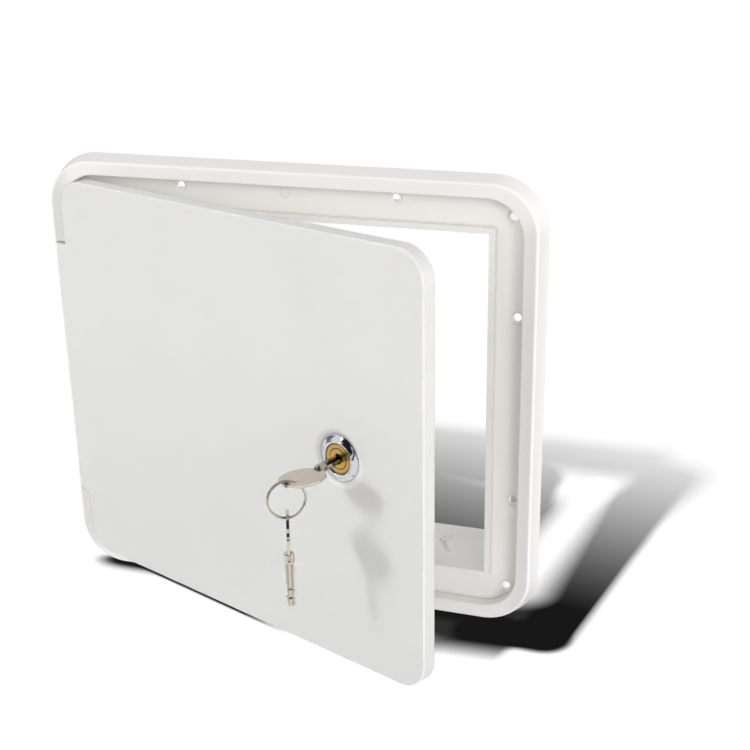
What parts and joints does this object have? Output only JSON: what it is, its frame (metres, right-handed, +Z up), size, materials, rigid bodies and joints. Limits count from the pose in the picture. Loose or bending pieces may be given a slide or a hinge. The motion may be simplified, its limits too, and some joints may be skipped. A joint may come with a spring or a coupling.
{
  "type": "power cord hatch",
  "caption": "Square wall hatch with a round-cornered flange, a sleeve into the wall and a side-hinged door with a key lock; the key carries a spare on a split ring.",
  "frame": {"origin": "centre of the opening, in the plane of the flange's flat back, which lies on the wall", "axes": "+X right as seen from outside, +Z up, +Y into the wall; the front faces -Y"},
  "size_m": [0.27, 0.1713, 0.24],
  "materials": {
    "white_plastic": "smooth satin moulding, warm white",
    "steel": "zinc-plated",
    "seal_rubber": "matt black foam rubber",
    "chrome": "polished",
    "brass": "turned, dull gold",
    "nickel": "nickel-plated, slightly worn"
  },
  "bodies": {
    "frame": {"frame": "white_plastic", "hinge_pin": "steel"},
    "door": {"door_panel": "white_plastic", "door_seal": "seal_rubber", "lock_bezel": "chrome", "lock_barrel": "brass", "lock_washer": "steel", "lock_nut": "steel"},
    "lock_core": {"lock_plug": "brass", "lock_cam": "steel", "cam_screw": "steel"},
    "key": {"key_head": "nickel", "key_shank": "nickel"},
    "ring": {"split_ring": "nickel"},
    "spare_key": {"spare_key_head": "nickel", "spare_key_shank": "nickel"}
  },
  "joints": [
    {"name": "door_hinge", "type": "hinge", "parent": "frame", "child": "door", "pos_m": [-0.1286, -0.006, 0], "axis": [0, 0, -1], "range_deg": [-21.7, 98.3]},
    {"name": "lock_turn", "type": "hinge", "parent": "door", "child": "lock_core", "pos_m": [0.05708, -0.08452, 0.0011], "axis": [-0.3697, -0.9291, 0], "range_deg": [-9, 81]},
    {"name": "key_pull", "type": "slide", "parent": "lock_core", "child": "key", "axis": [-0.3697, -0.9291, 0], "range_m": [0, 0.014]},
    {"name": "ring_swing", "type": "hinge", "parent": "key", "child": "ring", "pos_m": [0.04241, -0.11586, 0.00089], "axis": [0.831, 0.5563, 0], "range_deg": [-12, 12]},
    {"name": "spare_key_swing", "type": "hinge", "parent": "ring", "child": "spare_key", "pos_m": [0.04329, -0.11717, -0.01643], "axis": [0.831, 0.5563, 0], "range_deg": [-17, 17]}
  ]
}
